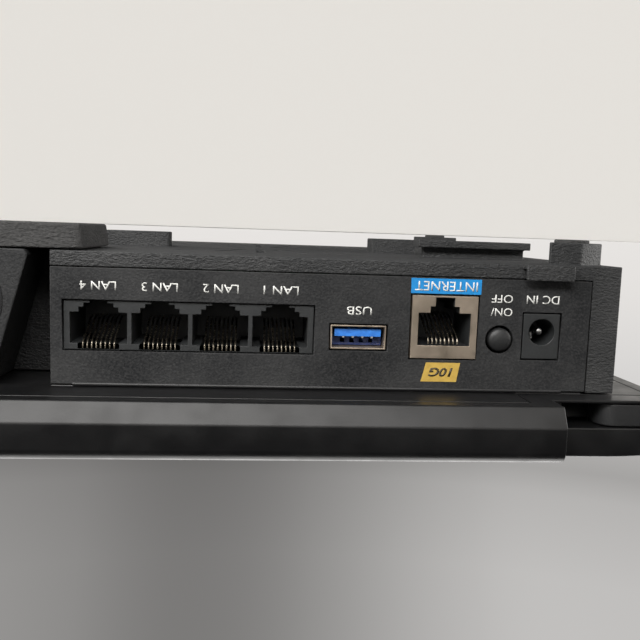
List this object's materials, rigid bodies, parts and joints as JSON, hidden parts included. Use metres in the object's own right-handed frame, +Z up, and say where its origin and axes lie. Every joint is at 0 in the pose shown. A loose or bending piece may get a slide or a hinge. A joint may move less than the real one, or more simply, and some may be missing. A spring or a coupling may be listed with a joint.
{
  "type": "wireless router",
  "caption": "Wireless router with a wide lid over a smaller case, rear network, USB and power sockets, and antennas that fold into the lid's edges.",
  "frame": {"origin": "centre of the overall box in plan, on the plane the feet stand on", "axes": "+Z up through the lid, +Y towards the rear socket panel, +X towards the side with the sockets"},
  "size_m": [0.3466, 0.195, 0.056],
  "materials": {
    "case_plastic": "satin moulded texture",
    "lid_plastic": "fine matte with a soft sheen",
    "black_plastic": "satin",
    "rubber": "coarse matte",
    "circuit_board": "semi-gloss lacquer",
    "aluminium": "extruded",
    "shield_metal": "satin",
    "socket_plastic": "satin",
    "socket_metal": "satin nickel",
    "contact_metal": "gold plated",
    "contact_silver": "bright",
    "usb_blue": "satin",
    "button_plastic": "satin",
    "light_pipe": "frosted clear",
    "label_blue": "printed",
    "label_gold": "printed",
    "antenna_black": "satin",
    "antenna_grey": "satin"
  },
  "bodies": {
    "router": {"antenna_base_front_left": "antenna_black", "antenna_base_front_right": "antenna_black", "antenna_base_rear_left": "antenna_black", "antenna_base_rear_right": "antenna_black", "antenna_pin_front_left": "contact_silver", "antenna_pin_front_right": "contact_silver", "antenna_pin_rear_left": "contact_silver", "antenna_pin_rear_right": "contact_silver", "centre_block": "case_plastic", "centre_cap": "black_plastic", "dc_jack": "socket_plastic", "dc_pin": "contact_silver", "foot_centre": "rubber", "foot_pad_front_left": "rubber", "foot_pad_front_right": "rubber", "foot_pad_rear_left": "rubber", "foot_pad_rear_right": "rubber", "heatsink": "aluminium", "io_panel": "case_plastic", "label_internet": "label_blue", "label_speed": "label_gold", "lan_contacts_1": "contact_metal", "lan_contacts_2": "contact_metal", "lan_contacts_3": "contact_metal", "lan_contacts_4": "contact_metal", "lan_housing": "socket_plastic", "lid_base": "lid_plastic", "light_pipe": "light_pipe", "lower_case": "case_plastic", "main_board": "circuit_board", "power_switch": "socket_plastic", "processor": "black_plastic", "reset_switch": "socket_plastic", "shield_can_left": "shield_metal", "shield_can_right": "shield_metal", "top_cover": "lid_plastic", "usb_riser": "socket_plastic", "usb_shell": "socket_metal", "usb_tongue": "usb_blue", "vent_panel": "case_plastic", "wan_contacts": "contact_metal", "wan_insert": "socket_plastic", "wan_shell": "socket_metal"},
    "antenna_rear_right": {"antenna_back_rear_right": "antenna_black", "antenna_cover_rear_right": "antenna_grey", "antenna_element_rear_right": "circuit_board"},
    "antenna_rear_left": {"antenna_back_rear_left": "antenna_black", "antenna_cover_rear_left": "antenna_grey", "antenna_element_rear_left": "circuit_board"},
    "antenna_front_right": {"antenna_back_front_right": "antenna_black", "antenna_cover_front_right": "antenna_grey", "antenna_element_front_right": "circuit_board"},
    "antenna_front_left": {"antenna_back_front_left": "antenna_black", "antenna_cover_front_left": "antenna_grey", "antenna_element_front_left": "circuit_board"},
    "power_button": {"power_button": "button_plastic"},
    "reset_button": {"reset_button": "button_plastic"}
  },
  "joints": [
    {"name": "power_button_press", "type": "slide", "parent": "router", "child": "power_button", "axis": [0, -1, 0], "range_m": [0, 0.0016], "stiffness_N_per_m": 600},
    {"name": "reset_button_press", "type": "slide", "parent": "router", "child": "reset_button", "axis": [0, -1, 0], "range_m": [0, 0.0008], "stiffness_N_per_m": 600},
    {"name": "antenna_rear_right_fold", "type": "hinge", "parent": "router", "child": "antenna_rear_right", "pos_m": [0.1595, 0.07, 0.0453], "axis": [-1, 0, 0], "range_deg": [0, 90]},
    {"name": "antenna_rear_left_fold", "type": "hinge", "parent": "router", "child": "antenna_rear_left", "pos_m": [-0.1595, 0.07, 0.0453], "axis": [-1, 0, 0], "range_deg": [0, 90]},
    {"name": "antenna_front_right_fold", "type": "hinge", "parent": "router", "child": "antenna_front_right", "pos_m": [0.1458, -0.0837, 0.0453], "axis": [0, 1, 0], "range_deg": [0, 90]},
    {"name": "antenna_front_left_fold", "type": "hinge", "parent": "router", "child": "antenna_front_left", "pos_m": [-0.1458, -0.0837, 0.0453], "axis": [0, -1, 0], "range_deg": [0, 90]}
  ]
}
